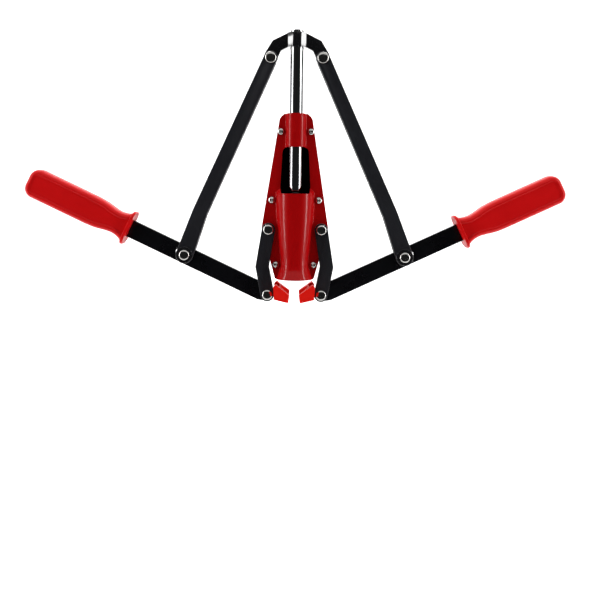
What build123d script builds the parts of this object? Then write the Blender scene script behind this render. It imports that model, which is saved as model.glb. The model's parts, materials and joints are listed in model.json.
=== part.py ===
"""Twin lever hand corker for wine bottles, in millimetres.

Two pressed steel half shells, screwed flange to flange, hold a cork funnel and a plunger guide.
A steel plunger hangs from a crosshead of two pressed plates. Two long links join the crosshead
to the levers, and two short links hang the inner ends of the levers from the shells. Each lever
carries a plastic grip outside and a plastic jaw inside, which closes round the bottle neck.

Frame: +Z up along the plunger, +X towards the right lever, -Y towards the window.
The origin is the centre of the round mouth at the foot of the shells, where the bottle enters.
The levers stand partly raised, tilted up by lever_tilt.
"""

from build123d import *
import os
from math import cos, radians, sin, sqrt

# Linkage: where the four pivots of the right side stand
lever_tilt = 25.0
inner_pin_spread = 0.4
inner_pin_drop = 68.0
body_pin_inset = 7.4
body_pin_drop = 2.5
head_pin_x = 27.3
lever_arm = 96.0
long_link_length = 225.0

# Sheets, bars and the room between faces that slide past each other
shell_sheet = 1.8
crosshead_sheet = 2.75
lever_thickness = 2 * crosshead_sheet
strip_sheet = 2.5
strip_edge = 0.4
side_play = 0.2
pin_play = 0.08
seat_play = 0.05

# Pins
pin_radius = 3.0
slot_pin_radius = 2.5
rivet_head_radius = 5.5
rivet_head_height = 2.6
rivet_head_rim = 1.1
rivet_face_radius = 3.9
washer_sheet = 1.0
washer_radius = 6.6
lever_washer_radius = 8.6

# Plunger
rod_radius = 7.2
rod_neck_radius = 7.0
rod_nose_radius = 5.6
rod_nose_length = 13.0
rod_tip_z = 84.5
rod_top_rise = 29.6
rod_chamfer = 1.0

# Crosshead plates, measured from the height of their pins
crosshead_top_rise = 26.2
crosshead_low_rise = 11.0
crosshead_shoulder_x = 25.6
crosshead_shoulder_rise = 18.4
crosshead_elbow_x = 33.6
crosshead_elbow_rise = 5.2
crosshead_end_radius = 7.4
crosshead_throat_x = 16.7
crosshead_throat_rise = 7.6
crosshead_bulge_radius = 10.2
crosshead_edge = 0.6

# Half shells
shell_height = 173.0
shell_top_half = 12.0
shell_neck_half = 17.3
shell_neck_drop = 5.5
shell_wide_half = 35.0
shell_wide_z = 54.0
shell_foot_half = 20.4
shell_outline_round = 4.0
foot_round = 2.0
window_foot_half = 14.4
window_wide_half = 17.3
window_top_half = 13.7
window_low_z = 89.4
window_top_drop = 34.9
window_round = 6.0
mouth_outer = 19.6
waist_outer = 14.3
waist_z = 19.0
belly_outer = 18.7
belly_z = 57.0
rim_outer = 20.0
shoulder_height = 6.4
shoulder_margin = 0.8
pocket_outer = 18.4
pocket_end_drop = 35.0
guide_outer = 10.7
guide_length = 24.0
guide_bush_length = 23.0
guide_bush_edge = 0.6
guide_play = 0.08

# Funnel between the shells
mouth_radius = 15.0
mouth_depth = 7.0
cork_bore_radius = 8.25
cork_bore_top_z = 44.0
funnel_entry_radius = 13.6
funnel_top_z = 88.0

# Screws that close the shells: half spacing of each pair, and where it stands
top_screw_x = 15.6
top_screw_drop = 18.8
middle_screw_x = 24.6
middle_screw_drop = 7.0
low_screw_x = 19.4
low_screw_z = 14.7
screw_radius = 2.0
screw_hole_play = 0.15
screw_head_radius = 3.8
screw_head_height = 2.6
screw_head_edge = 1.0
screw_tail = 1.2
nut_across_flats = 7.0
nut_height = 3.0
drive_width = 1.0
drive_length = 4.2
drive_depth = 1.3

# Long links: the kink stands out from the line between the pins
long_link_top_half = 7.2
long_link_kink_half = 7.8
long_link_low_half = 9.1
long_link_kink_share = 0.79
long_link_kink_out = 3.0

# Short links
short_link_half = 7.0
short_link_kink_share = 0.57
short_link_kink_out = 5.9

# Lever bars, measured along the lever from the inner pin
lever_half = 9.15
lever_full_from = 7.0
lever_end_half = 6.9
lever_end = 262.0
slot_inward = 5.0
slot_outward = 10.5
slot_half = 3.9
tongue_low = 1.0
tongue_high = 7.4
tongue_end = 10.4

# Grips
grip_start = 159.4
grip_end = 276.7
grip_half = 15.6
grip_root_half = 13.6
grip_neck_half = 12.0
grip_neck_at = 11.0
grip_swell_at = 43.5
grip_root_slope = 0.3
grip_depth = 21.0
grip_edge = 3.4
grip_corner = 10.5
collar_half = 18.4
collar_sheet = 3.2
collar_depth = 26.0
collar_edge = 0.9

# Jaws, measured from the inner pin: inward along the lever and up across it
jaw_low = 0.2
jaw_high = 11.2
jaw_back = 3.6
jaw_pocket = 7.8
jaw_pocket_half = 10.4
jaw_tip = 22.6
jaw_half_depth = 20.5
jaw_corner = 5.0
jaw_edge = 0.8
neck_recess_radius = 15.5
neck_recess_at = 28.6
neck_relief_play = 0.1
jaw_pin_radius = 1.0
jaw_pin_half_length = 8.0

# Places worked out from the values above
body_pin_x = shell_wide_half - body_pin_inset
body_pin_z = shell_wide_z - body_pin_drop
inner_pin_x = body_pin_x + inner_pin_spread
inner_pin_z = body_pin_z - inner_pin_drop
window_high_z = shell_height - window_top_drop
pocket_end_z = shell_height - pocket_end_drop
guide_end_z = shell_height - guide_length
guide_bush_low_z = shell_height - guide_bush_length
screw_pairs = [
    (top_screw_x, shell_height - top_screw_drop),
    (middle_screw_x, window_low_z - middle_screw_drop),
    (low_screw_x, low_screw_z),
]
tilt = radians(lever_tilt)
jaw_pin_at = (jaw_pocket + tongue_end) / 2
jaw_pin_rise = (tongue_low + tongue_high) / 2
lever_pin_x = inner_pin_x + lever_arm * cos(tilt)
lever_pin_z = inner_pin_z + lever_arm * sin(tilt)
head_pin_z = lever_pin_z + sqrt(long_link_length**2 - (lever_pin_x - head_pin_x) ** 2)
strip_inner = lever_thickness / 2 + side_play
strip_outer = strip_inner + strip_sheet
crosshead_low_z = head_pin_z + crosshead_low_rise
crosshead_top_z = head_pin_z + crosshead_top_rise

# The lever's own plane: x along the lever, y across it, facing the front
lever_plane = Plane(
    origin=(inner_pin_x, 0, inner_pin_z),
    x_dir=(cos(tilt), 0, sin(tilt)),
    z_dir=(0, -1, 0),
)

os.makedirs("parts", exist_ok=True)


def keep(piece, name):
    """Labels a finished piece and writes it."""
    piece.label = name
    export_step(piece, f"parts/{name}.step")


def keep_pair(piece, name):
    """Writes the right-hand piece and its mirror image on the left."""
    keep(piece, f"right_{name}")
    with BuildPart() as left:
        mirror(piece, about=Plane.YZ)
    keep(left.part, f"left_{name}")


def side_plane(y):
    """A plane facing the front at depth y, with x to the right and z up."""
    return Plane(origin=(0, y, 0), x_dir=(1, 0, 0), z_dir=(0, -1, 0))


def mitre(before, corner, after, half):
    """The outline point on the left of a corner, half away from both legs."""
    first = (corner - before).normalized()
    second = (after - corner).normalized()
    across = (first + second).rotate(Axis.Z, 90).normalized()
    reach = half / across.dot(first.rotate(Axis.Z, 90))
    return corner + across * reach


def strip_sketch(pins, halves):
    """A kinked strip with round ends: its centre line's three points and half widths."""
    start, kink, end = [Vector(*p) for p in pins]
    first = (kink - start).normalized().rotate(Axis.Z, 90)
    last = (end - kink).normalized().rotate(Axis.Z, 90)
    left = mitre(start, kink, end, halves[1])
    right = kink * 2 - left
    with BuildSketch() as strip:
        with BuildLine():
            Polyline(
                start + first * halves[0],
                left,
                end + last * halves[2],
                end - last * halves[2],
                right,
                start - first * halves[0],
                close=True,
            )
        make_face()
        for pin, half in ((start, halves[0]), (end, halves[2])):
            with Locations(pin):
                Circle(half)
    return strip.sketch


def kinked_strip(top, low, share, out, halves, hole_radii):
    """A flat link from its top pin to its low pin, kinked outwards, drilled at both pins."""
    top_pin = Vector(*top)
    low_pin = Vector(*low)
    run = low_pin - top_pin
    outward = run.normalized().rotate(Axis.Z, 90)
    kink = top_pin + run * share + outward * out
    outline = strip_sketch([top_pin, kink, low_pin], halves)
    with BuildPart() as link:
        with BuildSketch(side_plane(-strip_inner)):
            add(outline)
            for pin, radius in zip((top_pin, low_pin), hole_radii):
                with Locations(pin):
                    Circle(radius, mode=Mode.SUBTRACT)
        extrude(amount=strip_sheet)
        chamfer(link.faces().sort_by(Axis.Y)[0].outer_wire().edges(), length=strip_edge)
    return link.part


def rivet(x, z, radius, seat):
    """A rivet along Y, shank and both crowned heads, with its heads seated at -seat and seat."""
    head = [
        (seat, radius),
        (seat, rivet_head_radius),
        (seat + rivet_head_rim, rivet_head_radius),
        (seat + rivet_head_height, rivet_face_radius),
        (seat + rivet_head_height, 0),
    ]
    with BuildPart() as pin:
        with BuildSketch(Plane.YZ.offset(x)):
            with BuildLine():
                section = head + [(-y, rise) for y, rise in reversed(head)]
                Polyline(*[(y, z + rise) for y, rise in section], close=True)
            make_face()
        revolve(axis=Axis((x, 0, z), (0, 1, 0)))
    return pin.part


def washers(spots, inner, thickness):
    """Flat washers, front and rear, at each spot of x, z, hole radius and outer radius."""
    with BuildPart() as rings:
        for side in (-1, 1):
            start = inner if side < 0 else inner + thickness
            with BuildSketch(side_plane(side * start)):
                for x, z, hole, outer in spots:
                    with Locations((x, z)):
                        Circle(outer)
                        Circle(hole, mode=Mode.SUBTRACT)
            extrude(amount=thickness)
    return rings.part


# Half shells


def bulge_line(outset, with_pocket):
    """Right half of the channel's section, from the foot up, set in or out from the sheet."""
    waist = (waist_outer + outset, waist_z)
    belly = (belly_outer + outset, belly_z)
    rim = (rim_outer + outset, window_low_z)
    guide_top = (guide_outer + outset, shell_height)
    Polyline((0, 0), (mouth_outer + outset, 0), waist)
    ThreePointArc(waist, belly, rim)
    if with_pocket:
        pocket_end = (pocket_outer + outset, pocket_end_z)
        guide_end = (guide_outer + outset, guide_end_z)
        Polyline(rim, pocket_end, guide_end, guide_top, (0, shell_height), (0, 0))
    else:
        shoulder_z = window_low_z + shoulder_height
        shoulder = (window_wide_half + shoulder_margin + outset, shoulder_z)
        Polyline(rim, shoulder, (0, shoulder_z), (0, 0))


def bulge(outset, with_pocket):
    """The round channel as a solid of revolution, pressed out of a shell by its outside."""
    with BuildPart() as core:
        with BuildSketch(Plane.XZ):
            with BuildLine():
                bulge_line(outset, with_pocket)
            make_face()
        revolve(axis=Axis.Z)
        if not with_pocket:
            with BuildSketch(Plane.XY.offset(window_high_z)):
                Circle(guide_outer + outset)
            extrude(amount=window_top_drop)
    return core.part


def flange_sketch():
    """The outline of the pressed flange, both shells alike."""
    half = [
        (shell_foot_half, 0),
        (shell_wide_half, shell_wide_z),
        (shell_neck_half, shell_height - shell_neck_drop),
        (shell_top_half, shell_height),
    ]
    with BuildSketch() as outline:
        with BuildLine():
            Polyline(*half, *[(-x, z) for x, z in reversed(half)], close=True)
        make_face()
        corners = outline.vertices().group_by(Axis.Y)
        fillet(corners[0], foot_round)
        fillet(corners[1], shell_outline_round)
        fillet(corners[2] + corners[3], shell_outline_round)
    return outline.sketch


def window_sketch():
    """The loading window: rounded at the top, widest over the channel's shoulders."""
    half = [
        (window_foot_half, window_low_z),
        (window_wide_half, window_low_z + shoulder_height),
        (window_top_half, window_high_z),
    ]
    with BuildSketch() as window:
        with BuildLine():
            Polyline(*half, *[(-x, z) for x, z in reversed(half)], close=True)
        make_face()
        fillet(window.vertices().group_by(Axis.Y)[-1], window_round)
    return window.sketch


def half_shell(with_pocket):
    """One pressed half: the flange with the round channel pressed out of it, facing the front."""
    with BuildPart() as shell:
        with BuildSketch(Plane.XZ):
            add(flange_sketch())
        extrude(amount=shell_sheet)
        add(split(bulge(0, with_pocket), bisect_by=Plane.XZ, keep=Keep.TOP, mode=Mode.PRIVATE))
        add(bulge(-shell_sheet, with_pocket), mode=Mode.SUBTRACT)
        if not with_pocket:
            with BuildSketch(Plane.XZ):
                add(window_sketch())
            extrude(amount=rim_outer + shell_sheet, mode=Mode.SUBTRACT)
        with BuildSketch(Plane.XZ):
            for x, z in screw_pairs:
                with Locations((x, z), (-x, z)):
                    Circle(screw_radius + screw_hole_play)
            with Locations((body_pin_x, body_pin_z), (-body_pin_x, body_pin_z)):
                Circle(pin_radius + seat_play)
        extrude(amount=shell_sheet, mode=Mode.SUBTRACT)
    return shell.part


front_shell = half_shell(with_pocket=False)
keep(front_shell, "front_shell")
with BuildPart() as rear_shell:
    mirror(half_shell(with_pocket=True), about=Plane.XZ)
keep(rear_shell.part, "rear_shell")

# Cork funnel and plunger guide, clamped between the shells
with BuildPart() as cork_funnel:
    wall_inset = shell_sheet + seat_play
    with BuildSketch(Plane.XZ):
        with BuildLine():
            Polyline(
                (mouth_radius, 0),
                (mouth_outer - wall_inset, 0),
                (waist_outer - wall_inset, waist_z),
                (belly_outer - wall_inset, belly_z),
                (rim_outer - wall_inset, funnel_top_z),
                (funnel_entry_radius, funnel_top_z),
                (cork_bore_radius, cork_bore_top_z),
                (cork_bore_radius, mouth_depth),
                (mouth_radius, mouth_depth),
                close=True,
            )
        make_face()
    revolve(axis=Axis.Z)
keep(cork_funnel.part, "cork_funnel")

with BuildPart() as guide_bush:
    with BuildSketch(Plane.XY.offset(guide_bush_low_z)):
        Circle(guide_outer - shell_sheet - seat_play)
        Circle(rod_radius + guide_play, mode=Mode.SUBTRACT)
    extrude(amount=guide_bush_length)
    chamfer(guide_bush.edges().group_by(Axis.Z)[-1].sort_by(SortBy.RADIUS)[0], length=guide_bush_edge)
keep(guide_bush.part, "guide_bush")

# Screws and nuts that close the shells
with BuildPart() as shell_screws:
    screw_spots = [(side * x, z) for x, z in screw_pairs for side in (1, -1)]
    tail = shell_sheet + nut_height + screw_tail
    with BuildSketch(side_plane(-shell_sheet)):
        with Locations(*screw_spots):
            Circle(screw_head_radius)
    extrude(amount=screw_head_height)
    chamfer(shell_screws.faces().group_by(Axis.Y)[0].edges(), length=screw_head_edge)
    with BuildSketch(side_plane(-shell_sheet)):
        with Locations(*screw_spots):
            Circle(screw_radius)
    extrude(amount=-shell_sheet - tail)
    with BuildSketch(side_plane(-shell_sheet - screw_head_height)):
        with Locations(*screw_spots):
            Rectangle(drive_length, drive_width)
            Rectangle(drive_width, drive_length)
    extrude(amount=-drive_depth, mode=Mode.SUBTRACT)
keep(shell_screws.part, "shell_screws")

with BuildPart() as shell_nuts:
    with BuildSketch(side_plane(shell_sheet)):
        with Locations(*screw_spots):
            RegularPolygon(nut_across_flats / 2, 6, major_radius=False)
            Circle(screw_radius + seat_play, mode=Mode.SUBTRACT)
    extrude(amount=-nut_height)
keep(shell_nuts.part, "shell_nuts")

# Body pins, from which the short links hang, with spacers beside the flanges
keep_pair(rivet(body_pin_x, body_pin_z, pin_radius, strip_outer), "body_rivet")
spacer = (body_pin_x, body_pin_z, pin_radius + seat_play, washer_radius)
spacer_sheet = strip_inner - side_play - shell_sheet
keep_pair(washers([spacer], shell_sheet, spacer_sheet), "body_spacers")


# Plunger and crosshead


with BuildPart() as plunger_rod:
    rod_top_z = head_pin_z + rod_top_rise
    with BuildSketch(Plane.XZ):
        with BuildLine():
            Polyline(
                (0, rod_tip_z),
                (rod_nose_radius, rod_tip_z),
                (rod_radius, rod_tip_z + rod_nose_length),
                (rod_radius, crosshead_low_z),
                (rod_neck_radius, crosshead_low_z),
                (rod_neck_radius, crosshead_top_z),
                (rod_radius, crosshead_top_z),
                (rod_radius, rod_top_z),
                (0, rod_top_z),
                close=True,
            )
        make_face()
    revolve(axis=Axis.Z)
    chamfer(plunger_rod.faces().sort_by(Axis.Z)[-1].edges(), length=rod_chamfer)
keep(plunger_rod.part, "plunger_rod")


def crosshead_plate():
    """The front plate: two cranked arms with a half-round seat for the rod between them."""
    half = [
        (crosshead_bulge_radius, crosshead_top_z),
        (crosshead_shoulder_x, head_pin_z + crosshead_shoulder_rise),
        (crosshead_elbow_x, head_pin_z + crosshead_elbow_rise),
        (head_pin_x + crosshead_end_radius, head_pin_z),
        (head_pin_x - crosshead_end_radius, head_pin_z),
        (crosshead_throat_x, head_pin_z + crosshead_throat_rise),
        (crosshead_bulge_radius, crosshead_low_z),
    ]
    with BuildPart() as plate:
        with BuildSketch(Plane.XZ):
            with BuildLine():
                Polyline(*half, *[(-x, z) for x, z in reversed(half)], close=True)
            make_face()
            with Locations((head_pin_x, head_pin_z), (-head_pin_x, head_pin_z)):
                Circle(crosshead_end_radius)
        extrude(amount=crosshead_sheet)
        chamfer(plate.faces().sort_by(Axis.Y)[0].edges(), length=crosshead_edge)
        with BuildSketch(Plane.XY.offset(crosshead_low_z)):
            Circle(crosshead_bulge_radius)
            with Locations((0, crosshead_bulge_radius)):
                Rectangle(4 * crosshead_bulge_radius, 2 * crosshead_bulge_radius, mode=Mode.SUBTRACT)
        extrude(amount=crosshead_top_rise - crosshead_low_rise)
        with BuildSketch(Plane.XY.offset(crosshead_low_z)):
            Circle(rod_neck_radius + seat_play)
        extrude(amount=crosshead_top_rise - crosshead_low_rise, mode=Mode.SUBTRACT)
        with BuildSketch(Plane.XZ):
            with Locations((head_pin_x, head_pin_z), (-head_pin_x, head_pin_z)):
                Circle(pin_radius + seat_play)
        extrude(amount=crosshead_sheet, mode=Mode.SUBTRACT)
    return plate.part


front_plate = crosshead_plate()
keep(front_plate, "crosshead_front")
with BuildPart() as rear_plate:
    mirror(front_plate, about=Plane.XZ)
keep(rear_plate.part, "crosshead_rear")
keep_pair(rivet(head_pin_x, head_pin_z, pin_radius, strip_outer), "crosshead_rivet")


# Long and short links, a front and a rear strip on each side


def keep_links(strip, name):
    """Writes a front strip, its rear twin and the mirror images of both."""
    keep_pair(strip, f"{name}_front")
    with BuildPart() as rear:
        mirror(strip, about=Plane.XZ)
    keep_pair(rear.part, f"{name}_rear")


long_link = kinked_strip(
    (head_pin_x, head_pin_z),
    (lever_pin_x, lever_pin_z),
    long_link_kink_share,
    long_link_kink_out,
    (long_link_top_half, long_link_kink_half, long_link_low_half),
    (pin_radius + pin_play, slot_pin_radius + seat_play),
)
keep_links(long_link, "long_link")
short_link = kinked_strip(
    (body_pin_x, body_pin_z),
    (inner_pin_x, inner_pin_z),
    short_link_kink_share,
    short_link_kink_out,
    (short_link_half, short_link_half, short_link_half),
    (pin_radius + pin_play, pin_radius + pin_play),
)
keep_links(short_link, "short_link")

# Link pins: they turn with the long links and run in slots in the levers
slot_rivet_half = strip_outer + washer_sheet
keep_pair(rivet(lever_pin_x, lever_pin_z, slot_pin_radius, slot_rivet_half), "link_rivet")
link_washer = (lever_pin_x, lever_pin_z, slot_pin_radius + seat_play, lever_washer_radius)
keep_pair(washers([link_washer], strip_outer, washer_sheet), "link_washers")


# Levers, grips and jaws, drawn in the lever's own plane

with BuildPart() as lever_bar:
    bar_length = lever_end - lever_full_from
    slot_length = slot_inward + slot_outward
    with BuildSketch(lever_plane):
        Circle(lever_end_half)
        with Locations((lever_full_from + bar_length / 2, 0)):
            Rectangle(bar_length, 2 * lever_half)
        with BuildLine():
            Polyline(
                (0, lever_end_half),
                (lever_full_from, lever_half),
                (lever_full_from, -lever_half),
                (0, -lever_end_half),
                close=True,
            )
        make_face()
        with Locations((-tongue_end / 2, (tongue_low + tongue_high) / 2)):
            Rectangle(tongue_end, tongue_high - tongue_low)
        Circle(pin_radius + seat_play, mode=Mode.SUBTRACT)
        with Locations((lever_arm + (slot_outward - slot_inward) / 2, 0)):
            SlotCenterToCenter(slot_length, 2 * slot_half, mode=Mode.SUBTRACT)
        with Locations((-jaw_pin_at, jaw_pin_rise)):
            Circle(jaw_pin_radius + seat_play, mode=Mode.SUBTRACT)
    extrude(amount=lever_thickness / 2, both=True)
keep_pair(lever_bar.part, "lever_bar")
keep_pair(rivet(inner_pin_x, inner_pin_z, pin_radius, strip_outer), "lever_rivet")


def grip_outline():
    """The grip's side view: a neck behind the collar, a long swell and a rounded tip."""
    neck_x = grip_start + grip_neck_at
    swell_x = grip_start + grip_swell_at
    with BuildSketch() as outline:
        with BuildLine():
            upper = Spline(
                (grip_start, grip_root_half),
                (neck_x, grip_neck_half),
                (swell_x, grip_half),
                tangents=[(1, -grip_root_slope), (1, 0)],
            )
            lower = Spline(
                (grip_start, -grip_root_half),
                (neck_x, -grip_neck_half),
                (swell_x, -grip_half),
                tangents=[(1, grip_root_slope), (1, 0)],
            )
            Polyline(upper @ 1, (grip_end, grip_half), (grip_end, -grip_half), lower @ 1)
            Line(upper @ 0, lower @ 0)
        make_face()
        fillet(outline.vertices().group_by(Axis.X)[-1], grip_corner)
    return outline.sketch


with BuildPart() as grip:
    with BuildSketch(lever_plane):
        add(grip_outline())
    extrude(amount=grip_depth / 2, both=True)
    rims = grip.faces().filter_by(Axis.Y).sort_by(Axis.Y)
    chamfer(rims[0].edges() + rims[-1].edges(), length=grip_edge)
    collar_plane = Plane(
        origin=lever_plane.from_local_coords((grip_start, 0, 0)),
        x_dir=(0, 1, 0),
        z_dir=lever_plane.x_dir,
    )
    with BuildSketch(collar_plane):
        Ellipse(collar_depth / 2, collar_half)
    extrude(amount=collar_sheet)
    with BuildSketch(lever_plane):
        sleeve_end = lever_end + seat_play
        with Locations(((grip_start + sleeve_end) / 2, 0)):
            Rectangle(sleeve_end - grip_start, 2 * (lever_half + seat_play))
    extrude(amount=lever_thickness / 2 + seat_play, both=True, mode=Mode.SUBTRACT)
keep_pair(grip.part, "grip")


def across(along, rise):
    """A point of the jaw: inwards from the inner pin, and up across the lever."""
    return (-along, rise)


with BuildPart() as jaw:
    jaw_middle = (jaw_low + jaw_high) / 2
    jaw_plane = Plane(
        origin=lever_plane.from_local_coords((0, jaw_low, 0)),
        x_dir=-lever_plane.x_dir,
        z_dir=lever_plane.y_dir,
    )
    with BuildSketch(jaw_plane):
        with Locations(((jaw_back + jaw_tip) / 2, 0)):
            RectangleRounded(jaw_tip - jaw_back, 2 * jaw_half_depth, jaw_corner)
        with Locations((neck_recess_at, 0)):
            Circle(neck_recess_radius, mode=Mode.SUBTRACT)
        with Locations(((jaw_back + jaw_pocket) / 2, 0)):
            Rectangle(jaw_pocket - jaw_back, 2 * jaw_pocket_half, mode=Mode.SUBTRACT)
    extrude(amount=jaw_high - jaw_low)
    with BuildSketch(Plane.XY.offset(inner_pin_z - jaw_tip)):
        Circle(mouth_radius + neck_relief_play)
    extrude(amount=2 * jaw_tip, mode=Mode.SUBTRACT)
    with BuildSketch(lever_plane):
        with Locations((-(tongue_end + seat_play) / 2, (tongue_low + tongue_high) / 2)):
            Rectangle(tongue_end + seat_play, tongue_high - tongue_low + 2 * seat_play)
    extrude(amount=lever_thickness / 2 + seat_play, both=True, mode=Mode.SUBTRACT)
    with BuildSketch(lever_plane):
        with Locations(across(jaw_pin_at, jaw_pin_rise)):
            Circle(jaw_pin_radius + seat_play)
    extrude(amount=jaw_pin_half_length, both=True, mode=Mode.SUBTRACT)
keep_pair(jaw.part, "jaw")

with BuildPart() as jaw_pin:
    with BuildSketch(lever_plane):
        with Locations(across(jaw_pin_at, jaw_pin_rise)):
            Circle(jaw_pin_radius)
    extrude(amount=jaw_pin_half_length, both=True)
keep_pair(jaw_pin.part, "jaw_pin")
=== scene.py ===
"""Finish, camera and light for a twin lever corker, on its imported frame. Metres, +Z up."""

import json
from math import atan2, cos, hypot, pi, radians, sin, sqrt

import bmesh
import bpy
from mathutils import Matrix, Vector


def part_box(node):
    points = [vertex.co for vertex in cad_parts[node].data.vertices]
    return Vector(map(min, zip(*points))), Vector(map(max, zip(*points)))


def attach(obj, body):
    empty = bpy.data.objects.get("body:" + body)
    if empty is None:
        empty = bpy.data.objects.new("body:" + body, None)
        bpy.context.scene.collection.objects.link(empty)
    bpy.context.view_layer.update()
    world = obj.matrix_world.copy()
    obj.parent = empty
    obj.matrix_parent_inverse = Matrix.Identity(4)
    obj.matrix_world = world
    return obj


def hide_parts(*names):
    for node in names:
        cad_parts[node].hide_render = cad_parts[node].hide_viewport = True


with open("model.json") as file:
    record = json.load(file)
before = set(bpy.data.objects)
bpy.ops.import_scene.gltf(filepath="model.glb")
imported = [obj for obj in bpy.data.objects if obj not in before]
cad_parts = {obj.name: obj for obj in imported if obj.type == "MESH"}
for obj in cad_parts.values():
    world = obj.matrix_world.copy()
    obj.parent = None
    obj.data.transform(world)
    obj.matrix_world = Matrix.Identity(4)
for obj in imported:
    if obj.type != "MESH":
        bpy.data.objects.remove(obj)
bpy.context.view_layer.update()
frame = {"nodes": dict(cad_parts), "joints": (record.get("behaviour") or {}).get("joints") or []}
mm = 0.001
SIDES = ((1, "right"), (-1, "left"))

# The lever's inner pin and directions on the right side, which the left side mirrors
joints = {joint["name"]: joint for joint in frame["joints"]}
inner_pin = Vector(joints["right_lever_pivot"]["pos_m"])
lever_tilt = radians(25)  # how far the levers rise outwards in the photographed pose
along = Vector((cos(lever_tilt), 0, sin(lever_tilt)))
upward = Vector((-sin(lever_tilt), 0, cos(lever_tilt)))


# Node groups that several finishes share

EDGE_GAIN = 9.0
WORN_FROM, WORN_GAIN = 0.42, 5.0
SCRATCH_FROM, SCRATCH_GAIN = 0.66, 14.0
SCRATCHED_FROM, SCRATCHED_GAIN = 0.45, 4.0
SCRATCH_SCALE = 60.0
SCRATCHED_SCALE = 25.0
SCRATCH_STRETCH = (1.0, 1.0, 18.0)
SMUDGE_SCALE = 35.0
SCRATCH_DULLING = 0.2
COAT_ROUGHNESS = 0.04


def socket(tree, name, kind, default=None, out=False):
    """Adds a named socket to a group and returns it."""
    side = "OUTPUT" if out else "INPUT"
    made = tree.interface.new_socket(name=name, in_out=side, socket_type=kind)
    if default is not None:
        made.default_value = default
    return made


def new_group(name, inputs, outputs):
    """An empty shader group with its sockets: lists of name, kind and default."""
    tree = bpy.data.node_groups.new(name, "ShaderNodeTree")
    for label, kind, default in inputs:
        socket(tree, label, kind, default)
    for label, kind in outputs:
        socket(tree, label, kind, out=True)
    return tree, tree.nodes.new("NodeGroupInput"), tree.nodes.new("NodeGroupOutput")


def math_node(tree, operation, first, second, clamp=False):
    """A Math node whose inputs are sockets or numbers; returns its output."""
    node = tree.nodes.new("ShaderNodeMath")
    node.operation = operation
    node.use_clamp = clamp
    for place, value in enumerate((first, second)):
        if isinstance(value, (int, float)):
            node.inputs[place].default_value = value
        else:
            tree.links.new(value, node.inputs[place])
    return node.outputs[0]


def noise(tree, vector, scale, detail=3.0, roughness=0.55, stretch=None):
    """A noise texture on a vector, optionally stretched; returns its value."""
    if stretch:
        mapping = tree.nodes.new("ShaderNodeMapping")
        mapping.inputs["Scale"].default_value = stretch
        tree.links.new(vector, mapping.inputs["Vector"])
        vector = mapping.outputs["Vector"]
    node = tree.nodes.new("ShaderNodeTexNoise")
    node.inputs["Detail"].default_value = detail
    node.inputs["Roughness"].default_value = roughness
    tree.links.new(vector, node.inputs["Vector"])
    if isinstance(scale, (int, float)):
        node.inputs["Scale"].default_value = scale
    else:
        tree.links.new(scale, node.inputs["Scale"])
    return node.outputs["Fac"]


def rising(tree, value, start, gain):
    """0 up to a start, then rising by a gain to 1."""
    past = math_node(tree, "SUBTRACT", value, start)
    return math_node(tree, "MULTIPLY", past, gain, clamp=True)


def edge_wear_group():
    """How strongly a point lies on an outer edge, broken up by noise, from 0 to 1."""
    tree, given, result = new_group(
        "edge_wear",
        [
            ("Vector", "NodeSocketVector", None),
            ("Width", "NodeSocketFloat", 0.0006),
            ("Break Up", "NodeSocketFloat", 220.0),
            ("Amount", "NodeSocketFloat", 0.6),
        ],
        [("Mask", "NodeSocketFloat")],
    )
    rounded = tree.nodes.new("ShaderNodeBevel")
    rounded.samples = 6
    tree.links.new(given.outputs["Width"], rounded.inputs["Radius"])
    surface = tree.nodes.new("ShaderNodeNewGeometry")
    facing = tree.nodes.new("ShaderNodeVectorMath")
    facing.operation = "DOT_PRODUCT"
    tree.links.new(rounded.outputs["Normal"], facing.inputs[0])
    tree.links.new(surface.outputs["Normal"], facing.inputs[1])
    turned = math_node(tree, "SUBTRACT", 1.0, facing.outputs["Value"])
    edge = math_node(tree, "MULTIPLY", turned, EDGE_GAIN, clamp=True)
    patches = noise(tree, given.outputs["Vector"], given.outputs["Break Up"], detail=4.0)
    worn = rising(tree, patches, WORN_FROM, WORN_GAIN)
    mask = math_node(tree, "MULTIPLY", edge, worn)
    mask = math_node(tree, "MULTIPLY", mask, given.outputs["Amount"], clamp=True)
    tree.links.new(mask, result.inputs["Mask"])
    return tree


def skin_group():
    """Fine unevenness of a coated surface: a roughness shift, a height and a soft tone mask."""
    tree, given, result = new_group(
        "skin",
        [
            ("Vector", "NodeSocketVector", None),
            ("Grain Scale", "NodeSocketFloat", 900.0),
            ("Wave Scale", "NodeSocketFloat", 60.0),
            ("Grain", "NodeSocketFloat", 0.5),
        ],
        [
            ("Roughness Shift", "NodeSocketFloat"),
            ("Height", "NodeSocketFloat"),
            ("Tone", "NodeSocketFloat"),
        ],
    )
    grain = noise(tree, given.outputs["Vector"], given.outputs["Grain Scale"], detail=2.0)
    wave = noise(tree, given.outputs["Vector"], given.outputs["Wave Scale"], detail=3.0)
    smudge = noise(tree, given.outputs["Vector"], SMUDGE_SCALE, detail=5.0, roughness=0.65)
    shift = math_node(tree, "SUBTRACT", smudge, 0.5)
    fine = math_node(tree, "MULTIPLY", grain, given.outputs["Grain"])
    height = math_node(tree, "ADD", fine, wave)
    tree.links.new(shift, result.inputs["Roughness Shift"])
    tree.links.new(height, result.inputs["Height"])
    tree.links.new(smudge, result.inputs["Tone"])
    return tree


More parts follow.
